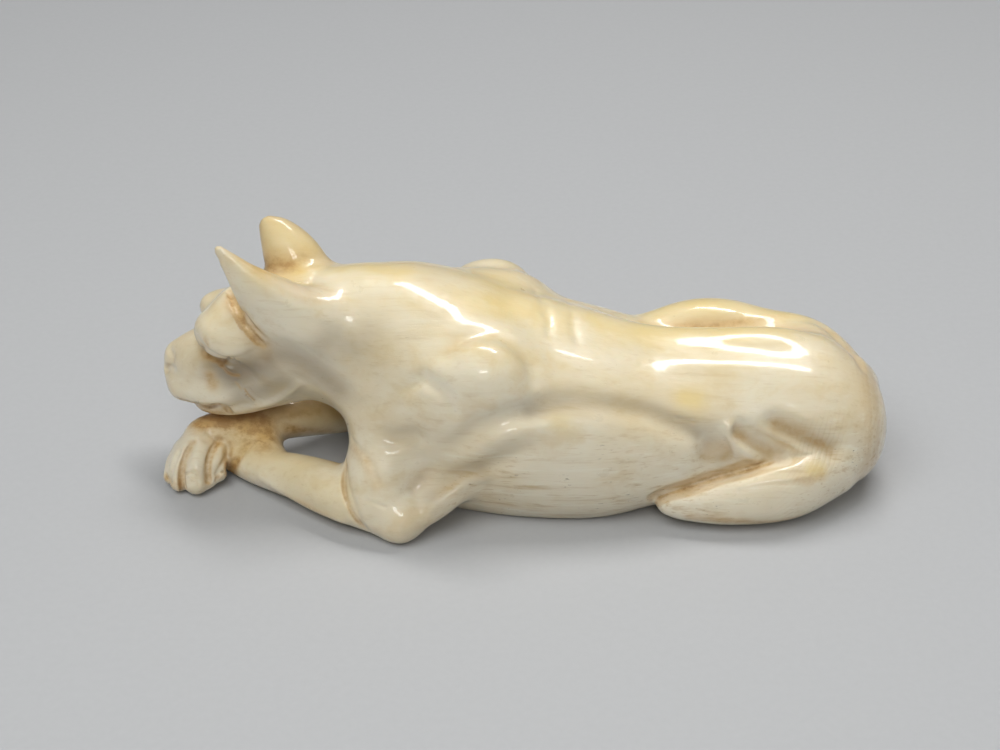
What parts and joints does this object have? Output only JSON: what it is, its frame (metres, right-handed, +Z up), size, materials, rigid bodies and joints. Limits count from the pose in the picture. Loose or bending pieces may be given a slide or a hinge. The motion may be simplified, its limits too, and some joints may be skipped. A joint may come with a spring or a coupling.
{
  "type": "bone figurine",
  "caption": "Carved bone dog with cropped ears, lying with its chin on crossed forepaws, one solid with a flat underside.",
  "frame": {"origin": "centre of the outline seen from above, on the surface the dog lies on", "axes": "+X from head to rump along the body, +Z up, -Y is the dog's left side, the side that the picture shows"},
  "size_m": [0.1018, 0.0378, 0.039],
  "materials": {
    "bone": "gloss"
  },
  "bodies": {
    "root": {"lying_dog": "bone"}
  },
  "joints": []
}
